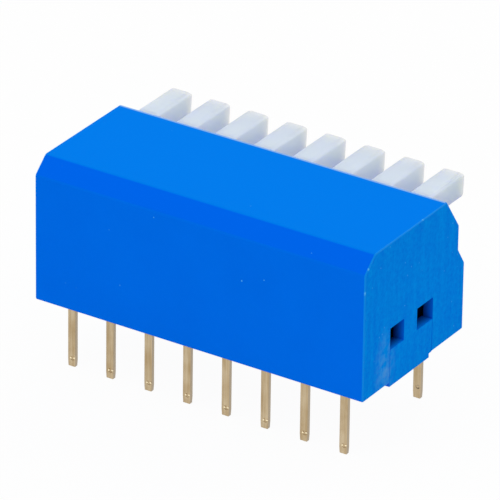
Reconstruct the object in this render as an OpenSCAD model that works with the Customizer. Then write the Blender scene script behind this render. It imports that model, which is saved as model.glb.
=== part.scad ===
// Right-angle lever switch row for a circuit board.
// X runs along the row, +Y points out past the lever tips and +Z is up from the board.
// The board surface is z = 0, and x = y = 0 is the middle of the terminal field.

/* [Row of switches] */
// Number of switches in the row
positions = 8; // [2:1:12]
// Spacing of the switches, and of their terminals, along the row
pitch = 2.54; // [2.5:0.01:2.8]
// Distance between the two rows of terminals
row_gap = 7.62; // [7.4:0.02:7.7]

/* [Cover] */
// Distance from the middle plane to the front face
cover_front = 4.9; // [4.8:0.05:5.4]
// Distance from the middle plane to the lower back face
cover_back = 5.44; // [5.3:0.02:5.8]
// Height of the cover from its lower rim to its roof
cover_h = 8.6; // [8.5:0.05:9.2]
// How far the cover runs past the last switch's pitch at each end
end_margin = 0.5; // [0.4:0.05:0.9]
// How far the roof runs on behind its back edge over the lever slots
slot_lip = 0.07; // [0.05:0.01:0.2]
// Depth of the bevel along the front of the roof
front_bevel_y = 1; // [0.4:0.05:1.4]
// Height of the bevel along the front of the roof
front_bevel_z = 0.9; // [0.4:0.05:1.4]
// Distance from the middle plane to the back edge of the roof
roof_back = 3.43; // [3.2:0.01:3.6]
// Distance from the middle plane to the upright face that the levers come through
notch_back = 4.77; // [4.6:0.01:4.9]
// Height that the slope behind the roof falls
slope_drop = 1.95; // [1.6:0.05:2.1]
// Height of the upright face that the levers come through
notch_drop = 1.5; // [1.4:0.05:1.6]
// Height of the flare below the levers
flare_drop = 1.04; // [0.6:0.02:1.2]
// Wall thickness of the cover's front and back
side_wall = 0.75; // [0.6:0.05:0.8]
// Wall thickness of the roof
roof_wall = 0.5; // [0.4:0.05:0.6]
// Wall thickness of the two ends
end_wall = 0.6; // [0.5:0.05:0.7]
// Rounding of the long outer edges
edge_r = 0.12; // [0.05:0.01:0.25]
// Height of the lower edge of the cover's ribs above the board
rib_low = 4.45; // [4.2:0.05:5]

/* [Base] */
// Height of the cover's rim, and of the base's underside, above the board
standoff = 0.25; // [0.15:0.05:0.6]
// Height of the terminals' shoulder ledge above the board
ledge_h = 1.2; // [0.9:0.05:1.6]
// Height of the base's two shoulders above the board
shoulder_h = 3; // [2.8:0.05:3.1]
// Width of the tab that closes the notch in each end of the cover
tab_w = 4.34; // [3.8:0.02:4.6]
// Width of the end window nearer the front
front_window_w = 1.4; // [1.1:0.02:1.6]
// Width of the end window nearer the levers
back_window_w = 1.6; // [1.1:0.02:1.7]
// Height of both end windows
window_h = 1.32; // [0.8:0.02:1.5]
// Height of the window sills above the cover's rim
window_sill = 2.03; // [1.6:0.02:2.1]
// How far each foot stops short of the back flank of its tab
foot_inset = 0.25; // [0.05:0.05:0.5]
// Length of the foot under the middle of the base
pad_len = 6; // [2:0.5:12]
// Width of the foot under the middle of the base
pad_w = 1.6; // [1:0.1:4]
// Reach of the comb walls to each side of the hinge line
comb_reach = 2.6; // [1.6:0.1:3]
// How far the bearing saddles' horns stay below the hinge line
saddle_drop = 0.35; // [0.25:0.05:0.45]
// Height of the ridge that latches the base into the cover
latch_h = 0.15; // [0.08:0.01:0.2]
// Height of the latching ridge's middle above the board
latch_z = 1.7; // [1.2:0.05:2.2]
// Length of the latching ridges, as they stop short of each end
latch_inset = 3; // [1:0.5:6]

/* [Levers] */
// Width of a lever
lever_w = 1.38; // [1.3:0.02:1.44]
// Height of a lever where it stands out of the cover
lever_h = 1.3; // [1.1:0.05:1.4]
// Distance from the middle plane to the lever tips
lever_reach = 7; // [6:0.05:8]
// How far the top of a raised lever lies below the roof
lever_drop = 0.03; // [0.02:0.01:0.2]
// Angle between a lever's upper and lower position
lever_travel = 22; // [12:1:22]
// Height of the hinge line above the board
pivot_z = 6.25; // [6:0.05:6.4]
// Radius of the lever's hub
hub_r = 1; // [0.8:0.05:1.2]
// Radius of the lever's two trunnions
trunnion_r = 0.5; // [0.4:0.02:0.55]
// Length of each trunnion
trunnion_len = 0.4; // [0.25:0.01:0.42]
// Width of the nose that carries the contact
nose_w = 1.24; // [1:0.02:1.4]
// Width of the shallow bevel along each side of the lever's upper face
lever_bevel_w = 0.35; // [0.15:0.01:0.5]
// Height of that bevel
lever_bevel_h = 0.1; // [0.05:0.01:0.2]
// Rounding of the lever's long upper edges, below that bevel
lever_edge_r = 0.08; // [0.04:0.01:0.2]
// How far the tip's upright face draws in from its top to its bottom
tip_draft = 0.08; // [0:0.01:0.15]
// Rounding of the upper corner of the tip
tip_top_r = 0.08; // [0.05:0.01:0.3]
// Rounding of the lower corner of the tip
tip_low_r = 0.2; // [0.05:0.01:0.5]
// Rounding of the step that drops under the roof
step_r = 0.25; // [0.1:0.01:0.4]
// Where the arm's upper face levels out, from the hinge line
arm_rise = 1.5; // [1.2:0.1:2.2]
// Where the arm's underside starts to fall to the hub, from the hinge line
arm_fall = 3.4; // [3:0.1:3.6]

/* [Contacts] */
// Radius from the hinge line to the wiping face of a contact
wipe_r = 3.6; // [3.4:0.05:3.65]
// Thickness of the contact strip
contact_t = 0.15; // [0.1:0.01:0.2]
// Width of a contact
contact_w = 1; // [0.6:0.05:1.1]
// Length of the contact's two legs along the nose
contact_leg = 0.8; // [0.4:0.05:1.2]

/* [Terminals] */
// Thickness of the terminal strip
strip_t = 0.25; // [0.2:0.01:0.28]
// Width of a terminal's pin
pin_w = 0.5; // [0.4:0.01:0.7]
// Width of a terminal's blade inside the base
blade_w = 1.1; // [0.8:0.05:1.25]
// Length of the pins below the board surface
pin_len = 3.85; // [2.8:0.05:4.5]
// Width of a pin's tip
tip_w = 0.44; // [0.3:0.01:0.48]
// Length of the taper at a pin's tip
tip_len = 0.4; // [0.1:0.05:1]
// Inner radius of the terminal's bend
bend_r = 0.2; // [0.1:0.05:0.35]
// Gap between the ends of a front and a back terminal
break_gap = 0.65; // [0.4:0.05:0.9]
// Distance of that gap's middle in front of the hinge line
break_front = 0.625; // [0.5:0.025:0.75]

/* [Fits] */
// Gap between the base and the cover
base_gap = 0.03; // [0.02:0.01:0.06]
// Gap on each side of the tabs in the ends of the cover
tab_gap = 0.03; // [0.02:0.01:0.06]
// Gap on each side of a lever, at the ribs and in its slot
side_gap = 0.12; // [0.08:0.01:0.18]
// Gap between a raised lever's arm and the roof
roof_gap = 0.1; // [0.06:0.01:0.2]
// Radial running gap round the trunnions
bearing_gap = 0.03; // [0.02:0.01:0.06]
// Gap between the contacts and the terminals
wipe_gap = 0.05; // [0.03:0.01:0.1]
// Gap round the terminals in the base
seat_gap = 0.02; // [0.01:0.01:0.04]
// Gap between the base's comb walls and the cover's ribs
comb_gap = 0.05; // [0.03:0.01:0.1]

/* [Hidden] */
$fn = 64;
arc_steps = 4;
cut = 1;
fuse = 0.05;

cover_half = positions * pitch / 2 + end_margin;
inner_half = cover_half - end_wall;
inner_front = cover_front - side_wall;
inner_back = cover_back - side_wall;
roof_z = standoff + cover_h;
roof_under = roof_z - roof_wall;
slope_z = roof_z - slope_drop;
slot_low = slope_z - notch_drop;
flare_z = slot_low - flare_drop;
sill_z = standoff + window_sill;
head_z = sill_z + window_h;

rib_t = pitch - lever_w - 2 * side_gap;
bearing_r = trunnion_r + bearing_gap;
blade_r = wipe_r + wipe_gap;
cradle_r = blade_r + strip_t + seat_gap;
blade_z = shoulder_h + seat_gap;
nose_r = wipe_r - contact_t;

lever_top = roof_z - lever_drop;
lever_under = lever_top - lever_h;
arm_top = roof_under - roof_gap;
lip_y = roof_back + slot_lip;
step_y = lip_y + roof_gap / 2;

// Middle of a switch, and middle of the rib after it, along the row
function switch_x(k) = (k - (positions + 1) / 2) * pitch;
function rib_x(k) = (k - positions / 2) * pitch;

function unit(v) = v / norm(v);
function turned(v, angle) = [
    v[0] * cos(angle) - v[1] * sin(angle),
    v[0] * sin(angle) + v[1] * cos(angle)
];

// The corner at p as an arc of radius r, or as itself where r is 0
function corner_arc(before, p, after, r) =
    r <= 0 ? [p] :
    let (
        a = unit(before - p),
        b = unit(after - p),
        half = acos(a * b) / 2,
        centre = p + unit(a + b) * r / sin(half),
        start = p + a * r / tan(half) - centre,
        end = p + b * r / tan(half) - centre,
        sweep = (180 - 2 * half) * (cross(start, end) > 0 ? 1 : -1)
    )
    [for (i = [0:arc_steps]) centre + turned(start, sweep * i / arc_steps)];

// An outline with its own radius at each corner
function rounded(points, radii) =
    let (n = len(points))
    [for (i = [0:n - 1])
        each corner_arc(points[(i + n - 1) % n], points[i], points[(i + 1) % n], radii[i])];

// An outline moved inwards by its own wall thickness at each edge
function moved_edge(points, walls, i) =
    let (a = points[i], d = unit(points[(i + 1) % len(points)] - a))
    [a + walls[i] * [-d[1], d[0]], d];
function meet(e, f) = e[0] + e[1] * cross(f[0] - e[0], f[1]) / cross(e[1], f[1]);
function inset(points, walls) =
    let (n = len(points))
    [for (i = [0:n - 1]) meet(moved_edge(points, walls, (i + n - 1) % n), moved_edge(points, walls, i))];

// The cover's section, from the front of its rim and round by the back
cover_outline = [
    [-cover_front, standoff],
    [cover_back, standoff],
    [cover_back, flare_z],
    [notch_back, slot_low],
    [notch_back, slope_z],
    [roof_back, roof_z],
    [front_bevel_y - cover_front, roof_z],
    [-cover_front, roof_z - front_bevel_z]
];
cover_walls = [
    -cut, side_wall, side_wall, side_wall, side_wall, roof_wall, side_wall, side_wall
];

// A section drawn in Y and Z, run along X
module along_x(from, to) {
    translate([from, 0, 0])
        rotate([90, 0, 90])
            linear_extrude(to - from)
                children();
}

// A section drawn in X and Z, run along Y
module along_y(from, to) {
    translate([0, to, 0])
        rotate([90, 0, 0])
            linear_extrude(to - from)
                children();
}

// Both ends of the row
module both_ends() {
    children();
    mirror([1, 0, 0])
        children();
}

// The ridge that latches the base's long side into the cover, grown by a gap
module latch_ridge(gap) {
    rise = latch_h + gap;
    half_h = 2 * rise;
    polygon([[-fuse, -half_h], [0, -half_h], [rise, 0], [0, half_h], [-fuse, half_h]]);
}

// The latching ridges along both long sides of a body of half width y_front and y_back
module latch_ridges(y_front, y_back, gap) {
    half = cover_half - latch_inset + gap;
    along_x(-half, half) {
        translate([y_back, latch_z])
            latch_ridge(gap);
        translate([-y_front, latch_z])
            mirror([1, 0])
                latch_ridge(gap);
    }
}

// Room for the trunnions in the cover's ribs, open downwards for the base's posts
module bearing_slot() {
    translate([0, pivot_z])
        circle(bearing_r);
    translate([-bearing_r, rib_low - cut])
        square([2 * bearing_r, pivot_z - rib_low + cut]);
}

module cover_ribs() {
    difference() {
        for (k = [0:positions])
            along_x(max(rib_x(k) - rib_t / 2, -inner_half - fuse), min(rib_x(k) + rib_t / 2, inner_half + fuse))
                intersection() {
                    polygon(inset(cover_outline, [for (w = cover_walls) w - fuse]));
                    translate([-cover_front, rib_low])
                        square([cover_front + cover_back, roof_z - rib_low]);
                }
        along_x(-inner_half, inner_half)
            bearing_slot();
    }
}

module cover_shell() {
    difference() {
        along_x(-cover_half, cover_half)
            polygon(rounded(cover_outline, [for (p = cover_outline) edge_r]));
        along_x(-inner_half, inner_half)
            polygon(inset(cover_outline, cover_walls));
    }
}

// The slots run from the flare up the slope, to just behind the roof's back edge
module lever_slots() {
    width = lever_w + 2 * side_gap;
    inside = roof_back - 2 * side_wall;
    for (k = [1:positions])
        translate([switch_x(k) - width / 2, 0, 0]) {
            translate([0, inside, slot_low])
                cube([width, cover_back - inside, roof_under - slot_low]);
            translate([0, lip_y, slot_low])
                cube([width, cover_back - lip_y, roof_z - slot_low]);
        }
}

module cover() {
    color("#0a6ce4")
        difference() {
            union() {
                cover_shell();
                cover_ribs();
            }
            lever_slots();
            both_ends()
                translate([inner_half - fuse, -tab_w / 2 - tab_gap, standoff - cut])
                    cube([end_wall + cut, tab_w + 2 * tab_gap, head_z - standoff + cut]);
            latch_ridges(inner_front, inner_back, base_gap);
        }
}

// The base's two shoulders with the round cradle between them, which carries the blades
module base_block() {
    front = inner_front - base_gap;
    back = inner_back - base_gap;
    half = rib_x(positions) - rib_t / 2;
    translate([base_gap - inner_half, -front, standoff])
        cube([2 * (inner_half - base_gap), front + back, ledge_h - standoff]);
    difference() {
        translate([-half, -front, standoff])
            cube([2 * half, front + back, shoulder_h - standoff]);
        along_x(-half - cut, half + cut)
            translate([0, pivot_z])
                circle(cradle_r);
    }
    latch_ridges(front, back, 0);
}

// Walls between the switches, each with a post that holds the trunnions from below
module base_comb() {
    post_half = bearing_r - base_gap;
    for (k = [1:positions - 1])
        translate([rib_x(k) - rib_t / 2, -comb_reach, standoff])
            cube([rib_t, 2 * comb_reach, rib_low - comb_gap - standoff]);
    difference() {
        for (k = [0:positions]) {
            from = max(rib_x(k) - rib_t / 2, base_gap - inner_half);
            to = min(rib_x(k) + rib_t / 2, inner_half - base_gap);
            translate([from, -post_half, standoff])
                cube([to - from, 2 * post_half, pivot_z - saddle_drop - standoff]);
        }
        along_x(-cover_half, cover_half)
            translate([0, pivot_z])
                circle(bearing_r);
    }
}

// The tab in the end of the cover: its post parts the two windows, its foot meets the board
module end_tab() {
    along_x(inner_half - base_gap - fuse, cover_half) {
        translate([-tab_w / 2, standoff])
            square([tab_w, sill_z - standoff]);
        translate([front_window_w - tab_w / 2, standoff])
            square([tab_w - front_window_w - back_window_w, head_z - standoff]);
        translate([-tab_w / 2, 0])
            square([tab_w - foot_inset, standoff + fuse]);
    }
}

// Room for one back terminal, from the board side up to the base's shoulder
module terminal_pocket() {
    inner = row_gap / 2 - strip_t / 2 - seat_gap;
    outer = row_gap / 2 + strip_t / 2 + seat_gap;
    along_x(-pin_w / 2 - seat_gap, pin_w / 2 + seat_gap)
        translate([inner, -cut])
            square([outer - inner, ledge_h + 2 * cut]);
    along_x(-blade_w / 2 - seat_gap, blade_w / 2 + seat_gap)
        polygon([
            [inner, ledge_h],
            [outer, ledge_h],
            [outer, shoulder_h + cut],
            [inner - bend_r, shoulder_h + cut],
            [inner - bend_r, shoulder_h],
            [inner, shoulder_h - bend_r]
        ]);
}

module base() {
    color("#0a6ce4")
        difference() {
            union() {
                base_block();
                base_comb();
                both_ends()
                    end_tab();
                translate([-pad_len / 2, -pad_w / 2, 0])
                    cube([pad_len, pad_w, standoff + fuse]);
            }
            for (k = [1:positions], side = [0, 1])
                translate([switch_x(k), 0, 0])
                    mirror([0, side, 0])
                        terminal_pocket();
        }
}

// The nose's section in its own line, which hangs straight down from the hinge
module nose_section() {
    intersection() {
        circle(nose_r);
        translate([-nose_w / 2, -nose_r])
            square([nose_w, nose_r]);
    }
}

// Places what hangs from the hinge at its angle in the upper position
module at_nose() {
    translate([0, pivot_z])
        rotate(lever_travel / 2)
            children();
}

// The arm, from the hub up under the roof and out to the tip
module arm_section() {
    hinge = [0, pivot_z];
    polygon(rounded(
        [
            hinge + 0.9 * hub_r * [cos(110), sin(110)],
            [arm_rise, arm_top],
            [step_y, arm_top],
            [step_y, lever_top],
            [lever_reach, lever_top],
            [lever_reach - tip_draft, lever_under],
            [arm_fall, lever_under],
            hinge + 0.9 * hub_r * [cos(-10), sin(-10)]
        ],
        [0, hub_r / 2, 0, step_r, tip_top_r, tip_low_r, hub_r / 2, 0]
    ));
}

// The lever's outline from the end, with a shallow bevel along each side of its upper face
module lever_end_section() {
    low = pivot_z - wipe_r;
    half = lever_w / 2;
    polygon(rounded(
        [
            [-half, low],
            [half, low],
            [half, lever_top - lever_bevel_h],
            [half - lever_bevel_w, lever_top],
            [lever_bevel_w - half, lever_top],
            [-half, lever_top - lever_bevel_h]
        ],
        [0, 0, lever_edge_r, lever_bevel_w, lever_bevel_w, lever_edge_r]
    ));
}

module lever() {
    color("#dce4ee") {
        intersection() {
            along_x(-lever_w / 2, lever_w / 2) {
                arm_section();
                translate([0, pivot_z])
                    circle(hub_r);
                at_nose()
                    nose_section();
            }
            along_y(-wipe_r, lever_reach + cut)
                lever_end_section();
        }
        along_x(-lever_w / 2 - trunnion_len, lever_w / 2 + trunnion_len)
            translate([0, pivot_z])
                circle(trunnion_r);
    }
}

// The gold strip bent round the foot of the nose, which bridges a pair of terminals
module contact() {
    half = nose_w / 2 + contact_t;
    color("#d8b25a")
        along_x(-contact_w / 2, contact_w / 2)
            at_nose()
                difference() {
                    intersection() {
                        circle(wipe_r);
                        translate([-half, -wipe_r])
                            square([2 * half, contact_t + contact_leg]);
                    }
                    nose_section();
                }
}

// A terminal's strip above its shoulder, as a back terminal whose blade ends at y = blade_end
module blade_section(blade_end) {
    inner = row_gap / 2 - strip_t / 2;
    bend_y = inner - bend_r;
    bend_z = blade_z - bend_r;
    flat_y = sqrt(pow(blade_r, 2) - pow(pivot_z - blade_z - strip_t, 2));
    translate([inner, ledge_h])
        square([strip_t, bend_z - ledge_h]);
    translate([flat_y, blade_z])
        square([bend_y - flat_y, strip_t]);
    translate([bend_y, bend_z])
        intersection() {
            difference() {
                circle(bend_r + strip_t);
                circle(bend_r);
            }
            square(bend_r + strip_t);
        }
    intersection() {
        translate([0, pivot_z])
            difference() {
                circle(blade_r + strip_t);
                circle(blade_r);
            }
        translate([blade_end, 0])
            square([flat_y + strip_t - blade_end, blade_z + strip_t]);
    }
}

// A terminal's pin with its narrowed tip
module pin_section() {
    polygon([
        [-pin_w / 2, ledge_h + fuse],
        [-pin_w / 2, tip_len - pin_len],
        [-tip_w / 2, -pin_len],
        [tip_w / 2, -pin_len],
        [pin_w / 2, tip_len - pin_len],
        [pin_w / 2, ledge_h + fuse]
    ]);
}

module back_terminal(blade_end) {
    middle = row_gap / 2;
    color("#c9b88e") {
        along_x(-blade_w / 2, blade_w / 2)
            blade_section(blade_end);
        along_y(middle - strip_t / 2, middle + strip_t / 2)
            pin_section();
    }
}

module terminal_back() {
    back_terminal(break_gap / 2 - break_front);
}

module terminal_front() {
    mirror([0, 1, 0])
        back_terminal(break_gap / 2 + break_front);
}

cover();
base();
for (k = [1:positions])
    translate([switch_x(k), 0, 0]) {
        lever();
        contact();
        terminal_front();
        terminal_back();
    }
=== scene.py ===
import math

import bmesh
import bpy
from mathutils import Matrix, Vector


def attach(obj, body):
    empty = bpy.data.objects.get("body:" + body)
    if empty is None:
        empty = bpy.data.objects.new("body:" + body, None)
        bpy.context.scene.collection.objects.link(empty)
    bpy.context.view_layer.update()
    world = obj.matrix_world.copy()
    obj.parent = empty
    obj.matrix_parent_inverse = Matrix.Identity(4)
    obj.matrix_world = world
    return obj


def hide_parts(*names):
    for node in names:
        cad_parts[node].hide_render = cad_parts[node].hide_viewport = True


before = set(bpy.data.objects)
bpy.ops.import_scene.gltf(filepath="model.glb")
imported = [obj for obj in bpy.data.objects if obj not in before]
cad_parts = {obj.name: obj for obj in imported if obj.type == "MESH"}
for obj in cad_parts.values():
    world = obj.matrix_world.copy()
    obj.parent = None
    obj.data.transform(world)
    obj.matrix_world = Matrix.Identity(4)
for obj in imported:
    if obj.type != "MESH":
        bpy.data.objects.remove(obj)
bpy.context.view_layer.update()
print("frame loaded:", len(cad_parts), "CAD nodes")

mm = 0.001
pitch = 2.54  # spacing of the switches, in mm like every size below
switches = range(1, 9)


def switchPlace(number):
    return (number - (len(switches) + 1) / 2) * pitch


def addObject(name, data):
    added = bpy.data.objects.new(name, data)
    bpy.context.scene.collection.objects.link(added)
    return added


# Camera, placed by a fit to the photograph's corners, pins and lever tips
photoView = {
    "azimuth": 32.492,
    "elevation": 27.389,
    "roll": 0.784,
    "aside": 0.246,
    "raised": 3.611,
    "distance": 368.967,
    "focalPixels": 6703.97,
    "framePixels": 500,
    "boardGap": 0.25,  # the fit's zero height was the cover's rim
    "sensor": 36,
    "clip": (10, 20000),
}


def placeCamera(view):
    turn, tilt, roll = (math.radians(view[name]) for name in ("azimuth", "elevation", "roll"))
    back = Vector((math.sin(turn) * math.cos(tilt), -math.cos(turn) * math.cos(tilt), math.sin(tilt)))
    level = Vector((math.cos(turn), math.sin(turn), 0))
    upright = back.cross(level)
    right = math.cos(roll) * level + math.sin(roll) * upright
    up = math.cos(roll) * upright - math.sin(roll) * level
    place = view["aside"] * right + view["raised"] * up + view["distance"] * back
    place.z += view["boardGap"]

    lens = bpy.data.cameras.new("photoCamera")
    lens.sensor_width = view["sensor"]
    lens.lens = view["focalPixels"] / view["framePixels"] * view["sensor"]
    lens.clip_start, lens.clip_end = (limit * mm for limit in view["clip"])
    camera = addObject("photoCamera", lens)
    camera.matrix_world = Matrix.Translation(place * mm) @ Matrix((right, up, back)).transposed().to_4x4()
    bpy.context.scene.camera = camera


placeCamera(photoView)
print("camera placed")


# Selecting and shaping, all in mm and degrees
meshLimits = {
    "same": 0.004,  # between two places that count as one
    "merge": 0.002,  # between two corners that become one
    "flat": 0.5,  # turn between two faces that become one
    "smooth": 40,  # turn between two faces that are shaded as one
}


def near(a, b):
    return abs(a - b) < meshLimits["same"]


def alongX(points):
    return not near(points[0].x, points[1].x)


def deselectAll():
    if bpy.context.mode != "OBJECT":
        bpy.ops.object.mode_set(mode="OBJECT")
    bpy.ops.object.select_all(action="DESELECT")


def workOn(piece):
    deselectAll()
    piece.select_set(True)
    bpy.context.view_layer.objects.active = piece


def editPiece(piece):
    workOn(piece)
    bpy.ops.object.mode_set(mode="EDIT")


def pick(piece, kind, test):
    # kind is verts, edges or faces; the test gets the item's corner points in mm
    bpy.ops.mesh.select_mode(type={"verts": "VERT", "edges": "EDGE", "faces": "FACE"}[kind])
    bpy.ops.mesh.select_all(action="DESELECT")
    shape = bmesh.from_edit_mesh(piece.data)
    for item in getattr(shape, kind):
        corners = [item] if kind == "verts" else item.verts
        if test([corner.co / mm for corner in corners]):
            item.select_set(True)
    shape.select_flush_mode()
    bmesh.update_edit_mesh(piece.data)


def addBlock(name, low, high):
    deselectAll()
    middle = [(a + b) / 2 * mm for a, b in zip(low, high)]
    size = [abs(b - a) * mm for a, b in zip(low, high)]
    bpy.ops.mesh.primitive_cube_add(size=1, location=middle, scale=size)
    block = bpy.context.object
    block.name = name
    bpy.ops.object.transform_apply(location=True, rotation=True, scale=True)
    return block


def addRod(name, radius, ends, middle, sides=48):
    # a rod along X, with its middle line at the given y and z
    deselectAll()
    bpy.ops.mesh.primitive_cylinder_add(
        vertices=sides,
        radius=radius * mm,
        depth=(ends[1] - ends[0]) * mm,
        location=((ends[0] + ends[1]) / 2 * mm, middle[0] * mm, middle[1] * mm),
        rotation=(0, math.radians(90), 0),
    )
    rod = bpy.context.object
    rod.name = name
    bpy.ops.object.transform_apply(location=True, rotation=True, scale=True)
    return rod


def stackedForm(name, half, along, levels):
    # levels are places along Y (1) or Z (2), each with its low and high side across
    across = 3 - along
    first, second = levels[:2]
    low, high = [-half, 0, 0], [half, 0, 0]
    low[along], high[along] = sorted((first[0], second[0]))
    low[across], high[across] = first[1:]
    form = addBlock(name, low, high)
    editPiece(form)
    for before, level in zip(levels, levels[1:]):
        if before is not first:
            rise = [0, 0, 0]
            rise[along] = (level[0] - before[0]) * mm
            pick(form, "faces", lambda points: all(near(p[along], before[0]) for p in points))
            bpy.ops.mesh.extrude_region_move(TRANSFORM_OT_translate={"value": rise})
        for was, now in zip(before[1:], level[1:]):
            slide = [0, 0, 0]
            slide[across] = (now - was) * mm
            pick(form, "verts", lambda points: near(points[0][along], level[0]) and near(points[0][across], was))
            bpy.ops.transform.translate(value=slide)
    bpy.ops.mesh.select_all(action="SELECT")
    bpy.ops.mesh.normals_make_consistent(inside=False)
    bpy.ops.mesh.dissolve_limited(angle_limit=math.radians(meshLimits["flat"]))
    bpy.ops.object.mode_set(mode="OBJECT")
    return form


def roundEdges(piece, rounding, test, material=-1):
    # the new faces take the piece's material of that number, or their neighbour's
    radius, steps = rounding
    editPiece(piece)
    pick(piece, "edges", test)
    bpy.ops.mesh.bevel(offset=radius * mm, segments=steps, affect="EDGES", clamp_overlap=True, material=material)
    bpy.ops.object.mode_set(mode="OBJECT")


def combine(piece, others, operation):
    # joins what is given, then adds it, takes it away or keeps the overlap
    workOn(others[0])
    for other in others:
        other.select_set(True)
    if len(others) > 1:
        bpy.ops.object.join()
    tool = bpy.context.object
    workOn(piece)
    change = piece.modifiers.new(operation.lower(), "BOOLEAN")
    change.operation = operation
    change.solver = "EXACT"
    change.use_self = len(others) > 1
    change.object = tool
    bpy.ops.object.modifier_apply(modifier=change.name)
    bpy.data.objects.remove(tool)


def softenPiece(piece, radius=0, steps=0, limit=0):
    # merges, rounds what is sharper than the limit and keeps the flats flat
    editPiece(piece)
    bpy.ops.mesh.select_all(action="SELECT")
    bpy.ops.mesh.remove_doubles(threshold=meshLimits["merge"] * mm)
    bpy.ops.mesh.dissolve_limited(angle_limit=math.radians(meshLimits["flat"]), delimit={"MATERIAL"})
    bpy.ops.object.mode_set(mode="OBJECT")
    if radius:
        soften = piece.modifiers.new("soften", "BEVEL")
        soften.width = radius * mm
        soften.segments = steps
        soften.limit_method = "ANGLE"
        soften.angle_limit = math.radians(limit)
        bpy.ops.object.modifier_apply(modifier=soften.name)
    bpy.ops.object.shade_smooth_by_angle(angle=math.radians(meshLimits["smooth"]))
    evened = piece.modifiers.new("evened", "WEIGHTED_NORMAL")
    evened.keep_sharp = True
    bpy.ops.object.modifier_apply(modifier=evened.name)


def copyNode(node):
    return addObject(node + ".shown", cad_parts[node].data.copy())


def dress(piece, *materials):
    piece.data.materials.clear()
    for material in materials:
        piece.data.materials.append(material)


def finishPiece(piece, name, node, body):
    piece.name = name
    piece.data.name = name
    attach(piece, body)
    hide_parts(node)


# Materials. A pattern's scale is its number of patches per mm, and a Map Range goes from
# nothing at From Min to its share, To Max, at From Max, unless its numbers say otherwise.
def colour(code):
    channels = [int(code[i:i + 2], 16) / 255 for i in (1, 3, 5)]
    return [c / 12.92 if c <= 0.04045 else ((c + 0.055) / 1.055) ** 2.4 for c in channels] + [1]


def addNode(tree, kind, settings=None, links=None):
    # a Mix node's sockets go by number: 0 is its factor, 2 and 3 the numbers that it mixes,
    # 6 and 7 the colours, and its outputs are 0 for a number and 2 for a colour
    node = tree.nodes.new(kind)
    for name, value in (settings or {}).items():
        if isinstance(name, int) or name in node.inputs:
            node.inputs[name].default_value = value
        else:
            setattr(node, name, value)
    for name, source in (links or {}).items():
        tree.links.new(source, node.inputs[name])
    return node


def startMaterial(name):
    material = bpy.data.materials.new(name)
    material.use_nodes = True
    tree = material.node_tree
    tree.nodes.clear()
    place = addNode(tree, "ShaderNodeTexCoord")
    inMm = addNode(tree, "ShaderNodeMapping", {"Scale": (1 / mm, 1 / mm, 1 / mm)},
                   {"Vector": place.outputs["Object"]})
    return material, tree, inMm.outputs["Vector"]


def facingIn(tree):
    # how far the surface faces along X, Y and Z
    place = addNode(tree, "ShaderNodeTexCoord")
    return addNode(tree, "ShaderNodeSeparateXYZ", links={"Vector": place.outputs["Normal"]}).outputs


def setTones(ramp, tones):
    for number, (position, tone) in enumerate(tones):
        ramp.elements[number].position = position
        ramp.elements[number].color = colour(tone)


# Polyester housing, injection moulded in a spark-eroded mould: even saturated blue with a
# satin skin, draw streaks on the two ends, a pale scuff by the foot and a few specks of dust
housingFinish = {
    "deep": "#006FF2",
    "bright": "#0076FA",
    "mottle": {"Scale": 0.3, "Detail": 3},  # patches of about 3 mm
    # painted light: the bevel takes a deeper blue and the faces that turn up a paler one, for how the light falls
    # on them
    "bevel": "#006BFC",
    "paintedBevelFacing": {"From Min": 0.45, "From Max": 0.65, "To Max": 0.8},  # along Z
    "upper": "#008CF5",
    "upperFacing": {"From Min": 0.8, "From Max": 0.95, "To Max": 0.65},  # along Z
    # a painted highlight: pale light blue along the roof's back edge
    "roofEdgeHighlight": "#B4E0FF",
    "roofEdgeHighlightBand": {"From Min": 3.26, "From Max": 3.3, "To Max": 0.55},  # along Y
    "roofEdgeHighlightHeight": 8.78,  # nothing below it is pale
    # real draw streaks, in tones that also paint the ends paler and greener than the other faces, as painted light
    "streakTones": [(0.36, "#0081EA"), (0.64, "#009EF4")],
    "streakFacing": {"From Min": 0.8, "From Max": 0.95, "To Max": 0.75},  # along X
    "streakStretch": {"Scale": (0.2, 2, 0.2)},  # about 0.5 mm wide and 5 mm tall
    "streaks": {"Scale": 1, "Detail": 4, "Roughness": 0.6},
    "grainShare": 0.5,  # of the grain in the streaks
    "grain": {"Scale": 5, "Detail": 2},  # the real skin is finer, near 0.03 mm, and would not show
    "scuff": "#66ABEA",
    "scuffPlace": {"Location": (-10.66, 2.7, -0.55), "Scale": (1, 1, 0.42)},  # about y -2.7 and z 1.3
    "scuffReach": {"From Min": 0.25, "From Max": 1.15, "To Min": 1, "To Max": 0},
    "scuffClouds": {"Scale": 1.4, "Detail": 4, "Roughness": 0.6},  # about 0.7 mm each
    "scuffShare": {"From Min": 0.4, "From Max": 0.68, "To Max": 0.55},
    # painted shade, darker towards the inside of the windows
    "depth": "#00256C",
    "windowShadeReach": {"From Min": 10.56, "From Max": 10.06, "To Max": 0.8},  # along X, inwards
    "windows": (2.25, 3.65),  # half width and top of the part of each end that holds them
    "dust": "#55B8FF",
    "dustCells": {"Scale": 1.4},  # one cell each 0.7 mm, and few of them hold a speck
    "dustSize": 0.07,  # share of a cell, so about 0.1 mm across
    "dustChance": {"From Min": 0.88, "From Max": 1, "To Max": 0.8},
    "bump": {"Strength": 0.35, "Distance": 0.004 * mm},
    "roughness": {"To Min": 0.37, "To Max": 0.49},
    # little reflection, so that the white studio doesn't wash the blue out
    "shader": {"IOR": 1.5, "Specular IOR Level": 0.002, "Specular Tint": (0, 0.75, 1, 1)},
}


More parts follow.
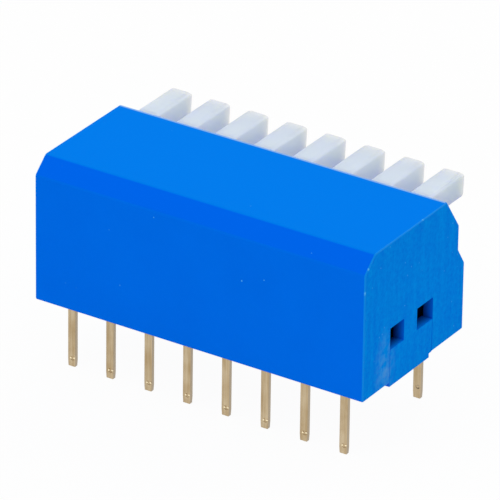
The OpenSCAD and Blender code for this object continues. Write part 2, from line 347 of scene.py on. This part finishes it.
def mouldedPolyester(finish):
    material, tree, inMm = startMaterial("mouldedPolyesterBlue")
    facing = facingIn(tree)
    where = addNode(tree, "ShaderNodeSeparateXYZ", links={"Vector": inMm}).outputs
    mottle = addNode(tree, "ShaderNodeTexNoise", finish["mottle"], {"Vector": inMm})
    body = addNode(tree, "ShaderNodeMix",
                   {"data_type": "RGBA", 6: colour(finish["deep"]), 7: colour(finish["bright"])},
                   {0: mottle.outputs["Fac"]})

    # painted light by facing: the bevel is painted a deeper blue, what faces up is painted paler, and the roof's
    # back edge gets a painted highlight
    slanted = addNode(tree, "ShaderNodeMapRange", finish["paintedBevelFacing"], {"Value": facing["Z"]})
    bevelPainted = addNode(tree, "ShaderNodeMix", {"data_type": "RGBA", 7: colour(finish["bevel"])},
                       {0: slanted.outputs["Result"], 6: body.outputs[2]})
    upward = addNode(tree, "ShaderNodeMapRange", finish["upperFacing"], {"Value": facing["Z"]})
    upper = addNode(tree, "ShaderNodeMix", {"data_type": "RGBA", 7: colour(finish["upper"])},
                    {0: upward.outputs["Result"], 6: bevelPainted.outputs[2]})
    # painted highlight on a narrow band along the roof's back edge
    band = addNode(tree, "ShaderNodeMapRange", finish["roofEdgeHighlightBand"], {"Value": where["Y"]})
    high = addNode(tree, "ShaderNodeMath", {"operation": "GREATER_THAN", 1: finish["roofEdgeHighlightHeight"]},
                   {0: where["Z"]})
    onHighlightBand = addNode(tree, "ShaderNodeMath", {"operation": "MULTIPLY"},
                     {0: band.outputs["Result"], 1: high.outputs["Value"]})
    roofHighlit = addNode(tree, "ShaderNodeMix", {"data_type": "RGBA", 7: colour(finish["roofEdgeHighlight"])},
                    {0: onHighlightBand.outputs["Value"], 6: upper.outputs[2]})

    # streaks and a fine grain run up the ends only, in tones paler and greener than the rest of the housing, so
    # they also paint the light that falls on the ends
    grain = addNode(tree, "ShaderNodeTexNoise", finish["grain"], {"Vector": inMm})
    stretch = addNode(tree, "ShaderNodeMapping", finish["streakStretch"], {"Vector": inMm})
    streak = addNode(tree, "ShaderNodeTexNoise", finish["streaks"], {"Vector": stretch.outputs["Vector"]})
    brushed = addNode(tree, "ShaderNodeMix", {"data_type": "FLOAT", 0: finish["grainShare"]},
                      {2: streak.outputs["Fac"], 3: grain.outputs["Fac"]})
    streakTone = addNode(tree, "ShaderNodeValToRGB", links={"Fac": brushed.outputs[0]})
    setTones(streakTone.color_ramp, finish["streakTones"])
    sideways = addNode(tree, "ShaderNodeMath", {"operation": "ABSOLUTE"}, {0: facing["X"]})
    onEnd = addNode(tree, "ShaderNodeMapRange", finish["streakFacing"], {"Value": sideways.outputs["Value"]})
    streaked = addNode(tree, "ShaderNodeMix", {"data_type": "RGBA"},
                       {0: onEnd.outputs["Result"], 6: roofHighlit.outputs[2], 7: streakTone.outputs["Color"]})

    # scuff beside the foot on the right end
    toScuff = addNode(tree, "ShaderNodeMapping", finish["scuffPlace"], {"Vector": inMm})
    reach = addNode(tree, "ShaderNodeVectorMath", {"operation": "LENGTH"}, {0: toScuff.outputs["Vector"]})
    within = addNode(tree, "ShaderNodeMapRange", finish["scuffReach"], {"Value": reach.outputs["Value"]})
    clouds = addNode(tree, "ShaderNodeTexNoise", finish["scuffClouds"], {"Vector": inMm})
    patchy = addNode(tree, "ShaderNodeMapRange", finish["scuffShare"], {"Value": clouds.outputs["Fac"]})
    wearAndHighlight = addNode(tree, "ShaderNodeMath", {"operation": "MULTIPLY"},
                     {0: within.outputs["Result"], 1: patchy.outputs["Result"]})
    scuffed = addNode(tree, "ShaderNodeMix", {"data_type": "RGBA", 7: colour(finish["scuff"])},
                      {0: wearAndHighlight.outputs["Value"], 6: streaked.outputs[2]})

    # painted shade: the windows' walls are painted darker inwards
    windowHalf, windowTop = finish["windows"]
    outwards = addNode(tree, "ShaderNodeMath", {"operation": "ABSOLUTE"}, {0: where["X"]})
    deep = addNode(tree, "ShaderNodeMapRange", finish["windowShadeReach"], {"Value": outwards.outputs["Value"]})
    fromMiddle = addNode(tree, "ShaderNodeMath", {"operation": "ABSOLUTE"}, {0: where["Y"]})
    between = addNode(tree, "ShaderNodeMath", {"operation": "LESS_THAN", 1: windowHalf},
                      {0: fromMiddle.outputs["Value"]})
    below = addNode(tree, "ShaderNodeMath", {"operation": "LESS_THAN", 1: windowTop}, {0: where["Z"]})
    nearWindow = addNode(tree, "ShaderNodeMath", {"operation": "MULTIPLY"},
                         {0: between.outputs["Value"], 1: below.outputs["Value"]})
    inWindowShade = addNode(tree, "ShaderNodeMath", {"operation": "MULTIPLY"},
                       {0: deep.outputs["Result"], 1: nearWindow.outputs["Value"]})
    windowShaded = addNode(tree, "ShaderNodeMix", {"data_type": "RGBA", 7: colour(finish["depth"])},
                       {0: inWindowShade.outputs["Value"], 6: scuffed.outputs[2]})

    # dust in a few of the cells
    cells = addNode(tree, "ShaderNodeTexVoronoi", finish["dustCells"], {"Vector": inMm})
    dot = addNode(tree, "ShaderNodeMath", {"operation": "LESS_THAN", 1: finish["dustSize"]},
                  {0: cells.outputs["Distance"]})
    draw = addNode(tree, "ShaderNodeSeparateColor", links={"Color": cells.outputs["Color"]})
    chosen = addNode(tree, "ShaderNodeMapRange", finish["dustChance"], {"Value": draw.outputs["Red"]})
    speck = addNode(tree, "ShaderNodeMath", {"operation": "MULTIPLY"},
                    {0: dot.outputs["Value"], 1: chosen.outputs["Result"]})
    dusty = addNode(tree, "ShaderNodeMix", {"data_type": "RGBA", 7: colour(finish["dust"])},
                    {0: speck.outputs["Value"], 6: windowShaded.outputs[2]})

    bump = addNode(tree, "ShaderNodeBump", finish["bump"], {"Height": grain.outputs["Fac"]})
    sheen = addNode(tree, "ShaderNodeMapRange", finish["roughness"], {"Value": mottle.outputs["Fac"]})
    skin = addNode(tree, "ShaderNodeBsdfPrincipled", finish["shader"],
                   {"Base Color": dusty.outputs[2], "Roughness": sheen.outputs["Result"],
                    "Normal": bump.outputs["Normal"]})
    addNode(tree, "ShaderNodeOutputMaterial", links={"Surface": skin.outputs["BSDF"]})
    return material


# The same polyester on the rounded edges of the ends, painted paler as a painted highlight, and smoother, with a
# few brighter painted glints
edgeFinish = {
    "wearAndHighlight": "#0B90F6",
    "glint": "#5CC0FF",
    "patches": {"Scale": 1.8, "Detail": 3},  # about 0.6 mm each
    "glints": {"From Min": 0.63, "From Max": 0.69},  # where the patches peak
    "roughness": {"To Min": 0.31, "To Max": 0.46},
    "shader": {"IOR": 1.5, "Specular IOR Level": 0.05, "Specular Tint": (0.3, 0.8, 1, 1)},
}


def edgeHighlightPolyester(finish):
    material, tree, inMm = startMaterial("edgeHighlightPolyesterBlue")
    patches = addNode(tree, "ShaderNodeTexNoise", finish["patches"], {"Vector": inMm})
    glints = addNode(tree, "ShaderNodeMapRange", finish["glints"], {"Value": patches.outputs["Fac"]})
    body = addNode(tree, "ShaderNodeMix",
                   {"data_type": "RGBA", 6: colour(finish["wearAndHighlight"]), 7: colour(finish["glint"])},
                   {0: glints.outputs["Result"]})
    sheen = addNode(tree, "ShaderNodeMapRange", finish["roughness"], {"Value": patches.outputs["Fac"]})
    skin = addNode(tree, "ShaderNodeBsdfPrincipled", finish["shader"],
                   {"Base Color": body.outputs[2], "Roughness": sheen.outputs["Result"]})
    addNode(tree, "ShaderNodeOutputMaterial", links={"Surface": skin.outputs["BSDF"]})
    return material


# Painted shade: the same polyester, painted nearly black where it lines the unlit hollow of the housing, in the
# windows and slots
insideFinish = {
    "dark": "#001233",
    "lighter": "#00205A",
    "mottle": {"Scale": 1.5, "Detail": 3},  # about 0.7 mm each
    "shader": {"IOR": 1.5, "Specular IOR Level": 0.1, "Roughness": 0.5},
}


def shadedPolyester(finish):
    material, tree, inMm = startMaterial("shadedPolyesterBlue")
    mottle = addNode(tree, "ShaderNodeTexNoise", finish["mottle"], {"Vector": inMm})
    body = addNode(tree, "ShaderNodeMix",
                   {"data_type": "RGBA", 6: colour(finish["dark"]), 7: colour(finish["lighter"])},
                   {0: mottle.outputs["Fac"]})
    skin = addNode(tree, "ShaderNodeBsdfPrincipled", finish["shader"], {"Base Color": body.outputs[2]})
    addNode(tree, "ShaderNodeOutputMaterial", links={"Surface": skin.outputs["BSDF"]})
    return material


# Nylon levers, injection moulded: a cool milky white that light enters a little way, with painted light that makes
# them paler and bluer next to the housing, and painted shade on the last lever's outer side towards its tip
leverFinish = {
    # painted light: the parts next to the housing are painted paler and bluer, fading into the milk towards the
    # tips
    "paintedRootLight": "#E3F7FF",
    "milk": "#C8D6E6",
    "shade": "#C0CFE1",
    "mottle": {"Scale": 0.9, "Detail": 3},  # about 1 mm each
    "rootLightReach": {"From Min": 3.9, "From Max": 6.6},  # along Y
    # painted shade on the last lever's outer side, growing towards its tip
    "lastSideShade": "#B3C3D6",
    "lastSideShadeFrom": 9.4,  # along X, so only on the last lever's outer side
    "grain": {"Scale": 6, "Detail": 2},  # the real one is finer and would not show
    "bump": {"Strength": 0.3, "Distance": 0.004 * mm},
    "roughness": {"To Min": 0.36, "To Max": 0.48},
    "entering": {"To Min": 0.6, "To Max": 0.92},  # share of the light, from the tops' roots to elsewhere
    "shader": {"IOR": 1.53, "Subsurface Scale": 5 * mm, "Subsurface Radius": (1, 1, 0.6)},
}


def mouldedNylon(finish):
    material, tree, inMm = startMaterial("mouldedNylonWhite")
    facing = facingIn(tree)
    where = addNode(tree, "ShaderNodeSeparateXYZ", links={"Vector": inMm}).outputs
    mottle = addNode(tree, "ShaderNodeTexNoise", finish["mottle"], {"Vector": inMm})
    body = addNode(tree, "ShaderNodeMix",
                   {"data_type": "RGBA", 6: colour(finish["shade"]), 7: colour(finish["milk"])},
                   {0: mottle.outputs["Fac"]})
    # painted light near the housing, fading out along Y towards the tips
    wearAndRootLight = addNode(tree, "ShaderNodeMapRange", finish["rootLightReach"], {"Value": where["Y"]})
    wornAndRootLit = addNode(tree, "ShaderNodeMix", {"data_type": "RGBA", 6: colour(finish["paintedRootLight"])},
                   {0: wearAndRootLight.outputs["Result"], 7: body.outputs[2]})
    # painted shade on the last lever's outer side
    lastSide = addNode(tree, "ShaderNodeMath", {"operation": "GREATER_THAN", 1: finish["lastSideShadeFrom"]},
                       {0: where["X"]})
    lastSideShaded = addNode(tree, "ShaderNodeMath", {"operation": "MULTIPLY"},
                      {0: lastSide.outputs["Value"], 1: wearAndRootLight.outputs["Result"]})
    sideShadePainted = addNode(tree, "ShaderNodeMix", {"data_type": "RGBA", 7: colour(finish["lastSideShade"])},
                      {0: lastSideShaded.outputs["Value"], 6: wornAndRootLit.outputs[2]})

    # less light enters the tops next to the housing
    sideways = addNode(tree, "ShaderNodeMath", {"operation": "ABSOLUTE"}, {0: facing["X"]})
    exposed = addNode(tree, "ShaderNodeMath", {"operation": "MAXIMUM"},
                      {0: wearAndRootLight.outputs["Result"], 1: sideways.outputs["Value"]})
    entering = addNode(tree, "ShaderNodeMapRange", finish["entering"], {"Value": exposed.outputs["Value"]})

    grain = addNode(tree, "ShaderNodeTexNoise", finish["grain"], {"Vector": inMm})
    bump = addNode(tree, "ShaderNodeBump", finish["bump"], {"Height": grain.outputs["Fac"]})
    sheen = addNode(tree, "ShaderNodeMapRange", finish["roughness"], {"Value": mottle.outputs["Fac"]})
    skin = addNode(tree, "ShaderNodeBsdfPrincipled", finish["shader"],
                   {"Base Color": sideShadePainted.outputs[2], "Roughness": sheen.outputs["Result"],
                    "Normal": bump.outputs["Normal"], "Subsurface Weight": entering.outputs["Result"]})
    addNode(tree, "ShaderNodeOutputMaterial", links={"Surface": skin.outputs["BSDF"]})
    return material


# Brass strip with a thin tin-gold plate, stamped: pale champagne with fine lines down each pin, greyer where the
# cut edges show, and with a painted highlight on the pips of the front row
pinFinish = {
    "tones": [(0.36, "#B39A73"), (0.64, "#CFBC9B")],
    "cutEdge": "#AA9C88",
    "cutEdgeFacing": {"From Min": 0.5, "From Max": 0.85, "To Max": 0.8},  # along X
    # painted highlight: the front row's pips are painted a bright pale gold
    "pipHighlight": "#FFEFC8",
    "pipHighlightFrom": -3.945,  # along Y, just in front of the front row's faces, so on the pips alone
    "lineStretch": {"Scale": (9, 9, 0.45)},  # lines per mm, coarser than the real ones so that they show
    "lines": {"Scale": 1, "Detail": 3},
    "patches": {"Scale": 0.8, "Detail": 2},  # about 1.3 mm each
    "patchShare": 0.5,  # of the patches among the lines
    "bump": {"Strength": 0.25, "Distance": 0.004 * mm},
    "roughness": {"To Min": 0.28, "To Max": 0.44},
    "shader": {"Metallic": 1},
}


def platedStrip(finish):
    material, tree, inMm = startMaterial("platedBrassStrip")
    facing = facingIn(tree)
    where = addNode(tree, "ShaderNodeSeparateXYZ", links={"Vector": inMm}).outputs
    stretch = addNode(tree, "ShaderNodeMapping", finish["lineStretch"], {"Vector": inMm})
    lines = addNode(tree, "ShaderNodeTexNoise", finish["lines"], {"Vector": stretch.outputs["Vector"]})
    patches = addNode(tree, "ShaderNodeTexNoise", finish["patches"], {"Vector": inMm})
    both = addNode(tree, "ShaderNodeMix", {"data_type": "FLOAT", 0: finish["patchShare"]},
                   {2: lines.outputs["Fac"], 3: patches.outputs["Fac"]})
    body = addNode(tree, "ShaderNodeValToRGB", links={"Fac": both.outputs[0]})
    setTones(body.color_ramp, finish["tones"])
    sideways = addNode(tree, "ShaderNodeMath", {"operation": "ABSOLUTE"}, {0: facing["X"]})
    onEdge = addNode(tree, "ShaderNodeMapRange", finish["cutEdgeFacing"], {"Value": sideways.outputs["Value"]})
    cut = addNode(tree, "ShaderNodeMix", {"data_type": "RGBA", 7: colour(finish["cutEdge"])},
                  {0: onEdge.outputs["Result"], 6: body.outputs["Color"]})
    # painted highlight on the pips
    onPip = addNode(tree, "ShaderNodeMath", {"operation": "LESS_THAN", 1: finish["pipHighlightFrom"]},
                    {0: where["Y"]})
    strip = addNode(tree, "ShaderNodeMix", {"data_type": "RGBA", 7: colour(finish["pipHighlight"])},
                    {0: onPip.outputs["Value"], 6: cut.outputs[2]})
    bump = addNode(tree, "ShaderNodeBump", finish["bump"], {"Height": lines.outputs["Fac"]})
    sheen = addNode(tree, "ShaderNodeMapRange", finish["roughness"], {"Value": patches.outputs["Fac"]})
    skin = addNode(tree, "ShaderNodeBsdfPrincipled", finish["shader"],
                   {"Base Color": strip.outputs[2], "Roughness": sheen.outputs["Result"],
                    "Normal": bump.outputs["Normal"]})
    addNode(tree, "ShaderNodeOutputMaterial", links={"Surface": skin.outputs["BSDF"]})
    return material


# Spring bronze, gold plated: a warm smooth yellow, worn a little duller where it wipes
contactFinish = {
    "gold": "#E6BE62",
    "wornAndRootLit": "#C99C48",
    "wearAndRootLight": {"Scale": 5, "Detail": 4},  # about 0.2 mm each
    "roughness": {"To Min": 0.19, "To Max": 0.36},
    "shader": {"Metallic": 1},
}


def platedBronze(finish):
    material, tree, inMm = startMaterial("goldPlatedBronze")
    wearAndRootLight = addNode(tree, "ShaderNodeTexNoise", finish["wearAndRootLight"], {"Vector": inMm})
    body = addNode(tree, "ShaderNodeMix",
                   {"data_type": "RGBA", 6: colour(finish["gold"]), 7: colour(finish["wornAndRootLit"])},
                   {0: wearAndRootLight.outputs["Fac"]})
    sheen = addNode(tree, "ShaderNodeMapRange", finish["roughness"], {"Value": wearAndRootLight.outputs["Fac"]})
    skin = addNode(tree, "ShaderNodeBsdfPrincipled", finish["shader"],
                   {"Base Color": body.outputs[2], "Roughness": sheen.outputs["Result"]})
    addNode(tree, "ShaderNodeOutputMaterial", links={"Surface": skin.outputs["BSDF"]})
    return material


housingBlue = mouldedPolyester(housingFinish)
housingEdge = edgeHighlightPolyester(edgeFinish)
housingInside = shadedPolyester(insideFinish)
leverWhite = mouldedNylon(leverFinish)
pinMetal = platedStrip(pinFinish)
contactGold = platedBronze(contactFinish)
print("materials made")


def shadeInside(piece, number, test=lambda points: True):
    # these faces take the inside's painted shade, and so do the faces that a cut with them leaves
    while len(piece.data.materials) <= number:
        piece.data.materials.append(housingInside)
    for face in piece.data.polygons:
        if test([piece.data.vertices[corner].co / mm for corner in face.vertices]):
            face.material_index = number


# Cover: the outside is stacked level by level, its hollow is cut the same way. A form's levels
# are height, front and back, and a rounding is its radius and number of steps.
coverShape = {
    "half": 10.66,
    "outside": [(0.25, -4.9, 5.44), (4.36, -4.9, 5.44), (5.4, -4.9, 4.77), (6.9, -4.9, 4.77),
                (7.95, -4.9, 4.048), (8.85, -3.9, 3.43)],
    "innerHalf": 10.06,
    "hollow": [(-1, -4.15, 4.69), (4.139, -4.15, 4.69), (4.45, -4.15, 4.49)],
    "bayHalf": 0.81,
    "bay": [(4.44, -4.15, 4.49), (5.179, -4.15, 4.02), (6.667, -4.15, 4.02),
            (7.616, -4.15, 3.368), (8.35, -3.334, 2.864)],
    "slot": (1.93, 5.4, 8.35),  # inner end, sill and head of the slot that each lever comes through
    "lip": 3.5,  # where the roof ends over a slot
    "mouthLap": 0.1,  # how far the cut above a slot reaches into it
    "outOf": (6, 9),  # back and top of these cuts, outside the cover
    "notch": (2.2, 3.6),  # half width and head of the notch in each end
    "notchLap": 0.05,  # how far its cut reaches into the hollow
    "notchPast": 1,  # how far its cut runs out of the cover
    "bearing": (0.53, 6.25),  # radius and height of the levers' bearings
    "guideFoot": 4,  # lower end of the way up into them
    "latch": (7.69, 1.7, 0.18, 0.36),  # half length, height, depth and half width of the latch grooves
    "rimBelow": 1,  # of the long edges only the rim's lie below this height
    "rimRound": (0.1, 3),
    "frontRound": (0.11, 4),
    "backRound": (0.05, 3),
    "endRound": (0.07, 3),
}


def makeCover(shape):
    edgeNumber, insideNumber = 1, 2  # places of the materials in the cover's list
    half = shape["half"]
    cover = stackedForm("cover", half, 2, shape["outside"])
    dress(cover, housingBlue, housingEdge, housingInside)
    rim = shape["rimBelow"]
    roundEdges(cover, shape["frontRound"], lambda points: alongX(points) and points[0].z > rim and points[0].y < 0)
    roundEdges(cover, shape["backRound"], lambda points: alongX(points) and points[0].z > rim and points[0].y > 0)
    roundEdges(cover, shape["rimRound"], lambda points: alongX(points) and points[0].z < rim)
    # the ends' rounded edges take the painted highlight material
    roundEdges(cover, shape["endRound"],
               lambda points: not alongX(points) and near(abs(points[0].x), half), material=edgeNumber)

    hollow = stackedForm("hollow", shape["innerHalf"], 2, shape["hollow"])
    shadeInside(hollow, insideNumber)
    combine(cover, [hollow], "DIFFERENCE")

    slotIn, sill, head = shape["slot"]
    back, above = shape["outOf"]
    for number in switches:
        middle = switchPlace(number)
        left, right = middle - shape["bayHalf"], middle + shape["bayHalf"]
        bay = stackedForm("bay", shape["bayHalf"], 2, shape["bay"])
        bay.data.transform(Matrix.Translation((middle * mm, 0, 0)))
        shadeInside(bay, insideNumber)
        combine(cover, [bay], "DIFFERENCE")
        slot = addBlock("slot", (left, slotIn, sill), (right, back, head))
        combine(cover, [slot], "DIFFERENCE")
        mouth = addBlock("mouth", (left, shape["lip"], head - shape["mouthLap"]), (right, back, above))
        combine(cover, [mouth], "DIFFERENCE")

    inner = shape["innerHalf"]
    radius, hinge = shape["bearing"]
    combine(cover, [addRod("bearing", radius, (-inner, inner), (0, hinge))], "DIFFERENCE")
    guide = addBlock("guide", (-inner, -radius, shape["guideFoot"]), (inner, radius, hinge))
    combine(cover, [guide], "DIFFERENCE")

    wide, top = shape["notch"]
    past = shape["notchPast"]
    for side in (-1, 1):
        start, end = sorted((side * (inner - shape["notchLap"]), side * (half + past)))
        combine(cover, [addBlock("notch", (start, -wide, -past), (end, wide, top))], "DIFFERENCE")

    reach, height, depth, spread = shape["latch"]
    for wall in shape["hollow"][0][1:]:
        groove = addRod("groove", spread, (-reach, reach), (0, 0), sides=4)
        flattened = Matrix.Diagonal((1, depth / spread, 1, 1))
        groove.data.transform(Matrix.Translation((0, wall * mm, height * mm)) @ flattened)
        combine(cover, [groove], "DIFFERENCE")
    softenPiece(cover)
    return cover


finishPiece(makeCover(coverShape), "coverMoulding", "cover", "housing")
print("cover made")


# Base: the CAD form with its moulded edges taken off
baseShape = {
    "edge": (0.02, 2, 60),  # radius, steps, and the turn in degrees that counts as an edge
    "insideHalf": 10.04,  # what lies within this and above the next is in the unlit hollow
    "insideAbove": 0.26,
}


def makeBase(shape):
    half, foot = shape["insideHalf"], shape["insideAbove"]
    base = copyNode("base")
    dress(base, housingBlue, housingInside)
    # the base's faces inside the hollow take the painted shade
    shadeInside(base, 1, lambda points: all(abs(p.x) < half and p.z > foot for p in points))
    softenPiece(base, *shape["edge"])
    return base


finishPiece(makeBase(baseShape), "baseMoulding", "base", "housing")
print("base made")


# Levers: one is modelled about the middle of its switch and copied along the row
leverShape = {
    "half": 0.69,
    "tip": 7,
    "draft": 0.08,  # how much less far the underside reaches
    "top": 8.82,
    "under": 7.52,
    "step": 3.55,  # where the bar's upper half ends at the housing
    "stepRound": (0.25, 5),
    "tipTopRound": (0.08, 5),
    "tipLowRound": (0.2, 5),
    "section": (2.25, 5.25, 7),  # half length, middle and foot of the form that gives the bar its section
    "bevel": (0.35, 0.1),  # across and down, along each side of the upper face
    "bevelRound": (0.05, 3),
    "longRound": (0.07, 4),
    "arm": [(3.9, 7.52, 8.25), (3.4, 7.52, 8.25), (1.5, 6.44, 8.25), (0, 5.95, 7.29)],
    "hinge": 6.25,
    "hub": (1, 64),  # radius and sides
    "trunnion": (0.5, 1.09),  # radius and half length
    "nose": (0.62, 3.45, 160),  # half thickness, reach, and sides of the round that ends it
    "lean": 11,
    "apart": 0.005,
}


def makeLever(shape):
    half, top, hinge = shape["half"], shape["top"], shape["hinge"]
    lowTip = shape["tip"] - shape["draft"]
    lever = stackedForm("lever", half, 2, [(shape["under"], shape["step"], lowTip),
                                           (top, shape["step"], shape["tip"])])
    dress(lever, leverWhite)
    for rounding, y, z in ((shape["stepRound"], shape["step"], top),
                           (shape["tipTopRound"], shape["tip"], top),
                           (shape["tipLowRound"], lowTip, shape["under"])):
        roundEdges(lever, rounding, lambda points: all(near(p.y, y) and near(p.z, z) for p in points))

    length, middle, foot = shape["section"]
    across, down = shape["bevel"]
    section = stackedForm("section", length, 2, [(foot, -half, half), (top - down, -half, half),
                                                 (top, across - half, half - across)])
    roundEdges(section, shape["longRound"], lambda points: alongX(points) and near(points[0].z, top - down))
    roundEdges(section, shape["bevelRound"], lambda points: alongX(points) and near(points[0].z, top))
    turned = Matrix.Rotation(math.radians(90), 4, "Z")
    section.data.transform(Matrix.Translation((0, middle * mm, 0)) @ turned)
    combine(lever, [section], "INTERSECT")

    # each part behind the bar is a little narrower, so that no two sides share a plane
    armHalf, hubHalf, noseHalf = (half - count * shape["apart"] for count in (1, 2, 3))
    combine(lever, [stackedForm("arm", armHalf, 1, shape["arm"])], "UNION")
    radius, sides = shape["hub"]
    combine(lever, [addRod("hub", radius, (-hubHalf, hubHalf), (0, hinge), sides)], "UNION")
    thick, reach, sides = shape["nose"]
    nose = addBlock("nose", (-noseHalf, -thick, -reach), (noseHalf, thick, 0))
    combine(nose, [addRod("sweep", reach, (-1, 1), (0, 0), sides)], "INTERSECT")
    leant = Matrix.Rotation(math.radians(shape["lean"]), 4, "X")
    nose.data.transform(Matrix.Translation((0, 0, hinge * mm)) @ leant)
    combine(lever, [nose], "UNION")
    radius, end = shape["trunnion"]
    combine(lever, [addRod("trunnion", radius, (-end, end), (0, hinge))], "UNION")
    softenPiece(lever)
    return lever


firstLever = makeLever(leverShape)
for number in switches:
    lever = addObject("lever", firstLever.data.copy())
    lever.data.transform(Matrix.Translation((switchPlace(number) * mm, 0, 0)))
    finishPiece(lever, f"leverMoulding{number}", f"lever_{number}", f"switch_{number}")
bpy.data.objects.remove(firstLever)
print("levers made")


# Terminals: stamped strips with their edges rubbed round and a small coined ring above each
# tip, with two raised pips beside it on the front row
pinShape = {
    "edge": (0.025, 2, 60),
    "row": 3.81,
    "rowFace": 0.125,  # from a row's middle to its front faces
    "markRadius": 0.1,
    "markDepth": 0.04,
    "markOut": 0.01,  # how far in front of the strip the ring that is cut out has its middle
    "markSegments": (32, 10),
    "markHeight": {"front": -3.33, "back": -3.13},
    "markAside": 0.06,
    "markTilt": 9,
    "pips": {"front": [(-0.1, 0.01), (0.12, 0.04)], "back": []},  # aside and up from the mark's middle
    "pipRadius": 0.06,
    "pipSegments": (16, 8),
}


def makeTerminal(node, middle, side, row, shape):
    terminal = copyNode(node)
    dress(terminal, pinMetal)
    softenPiece(terminal, *shape["edge"])
    mark = Vector((middle + shape["markAside"], row - shape["rowFace"], shape["markHeight"][side]))
    around, across = shape["markSegments"]
    deselectAll()
    bpy.ops.mesh.primitive_torus_add(
        location=(mark - Vector((0, shape["markOut"], 0))) * mm,
        rotation=(math.radians(90 + shape["markTilt"]), 0, 0),
        major_segments=around,
        minor_segments=across,
        major_radius=shape["markRadius"] * mm,
        minor_radius=shape["markDepth"] * mm,
    )
    combine(terminal, [bpy.context.object], "DIFFERENCE")
    around, across = shape["pipSegments"]
    for aside, up in shape["pips"][side]:
        deselectAll()
        bpy.ops.mesh.primitive_uv_sphere_add(
            segments=around,
            ring_count=across,
            radius=shape["pipRadius"] * mm,
            location=(mark + Vector((aside, 0, up))) * mm,
        )
        pip = bpy.context.object
        dress(pip, pinMetal)
        combine(terminal, [pip], "UNION")
    return terminal


for number in switches:
    for side, row in (("front", -pinShape["row"]), ("back", pinShape["row"])):
        node = f"terminal_{side}_{number}"
        terminal = makeTerminal(node, switchPlace(number), side, row, pinShape)
        finishPiece(terminal, f"{side}Terminal{number}", node, "housing")
    dress(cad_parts[f"contact_{number}"], contactGold)
print("terminals and contacts made")


# Floor, background and light
studio = {
    "floorSize": 900,
    "floorHeight": -3.85,
    "floor": "#F4F4F4",
    "glow": 0.96,  # share of the floor that the camera sees as plain white
    "ambient": 0.65,
    "aim": (0, 0, 4),
    "lamps": [
        # name, place in mm, size in mm, watts
        ("keyLamp", (-60, -120, 190), 140, 0.095),
        ("endLamp", (150, -30, 150), 110, 0.009),
        ("rearLamp", (20, 150, 150), 120, 0.075),
    ],
}


def seenRays(tree):
    path = addNode(tree, "ShaderNodeLightPath")
    some = addNode(tree, "ShaderNodeMath", {"operation": "MAXIMUM"},
                   {0: path.outputs["Is Camera Ray"], 1: path.outputs["Is Glossy Ray"]})
    seen = addNode(tree, "ShaderNodeMath", {"operation": "MAXIMUM"},
                   {0: some.outputs["Value"], 1: path.outputs["Is Transmission Ray"]})
    return seen.outputs["Value"]


def makeSky(setup):
    world = bpy.data.worlds.new("whiteStudio")
    bpy.context.scene.world = world
    world.use_nodes = True
    tree = world.node_tree
    tree.nodes.clear()
    strength = addNode(tree, "ShaderNodeMapRange", {"To Min": setup["ambient"], "To Max": 1},
                       {"Value": seenRays(tree)})
    sky = addNode(tree, "ShaderNodeBackground", {"Color": (1, 1, 1, 1)}, {"Strength": strength.outputs["Result"]})
    addNode(tree, "ShaderNodeOutputWorld", links={"Surface": sky.outputs["Background"]})


def makeFloor(setup):
    deselectAll()
    bpy.ops.mesh.primitive_plane_add(size=setup["floorSize"] * mm, location=(0, 0, setup["floorHeight"] * mm))
    floor = bpy.context.object
    floor.name = "studioFloor"
    paper = bpy.data.materials.new("paperFloor")
    paper.use_nodes = True
    tree = paper.node_tree
    tree.nodes.clear()
    matt = addNode(tree, "ShaderNodeBsdfDiffuse", {"Color": colour(setup["floor"])})
    white = addNode(tree, "ShaderNodeEmission", {"Color": (1, 1, 1, 1), "Strength": 1})
    share = addNode(tree, "ShaderNodeMath", {"operation": "MULTIPLY", 1: setup["glow"]}, {0: seenRays(tree)})
    sheet = addNode(tree, "ShaderNodeMixShader", links={0: share.outputs["Value"], 1: matt.outputs["BSDF"],
                                                        2: white.outputs["Emission"]})
    addNode(tree, "ShaderNodeOutputMaterial", links={"Surface": sheet.outputs["Shader"]})
    dress(floor, paper)


def addLamps(setup):
    for name, place, size, watts in setup["lamps"]:
        light = bpy.data.lights.new(name, "AREA")
        light.size = size * mm
        light.energy = watts
        spot = Vector(place) * mm
        aim = Vector(setup["aim"]) * mm - spot
        lamp = addObject(name, light)
        lamp.matrix_world = Matrix.Translation(spot) @ aim.to_track_quat("-Z", "Y").to_matrix().to_4x4()


makeSky(studio)
makeFloor(studio)
addLamps(studio)
bpy.context.scene.view_settings.view_transform = "Standard"
print("studio lit")
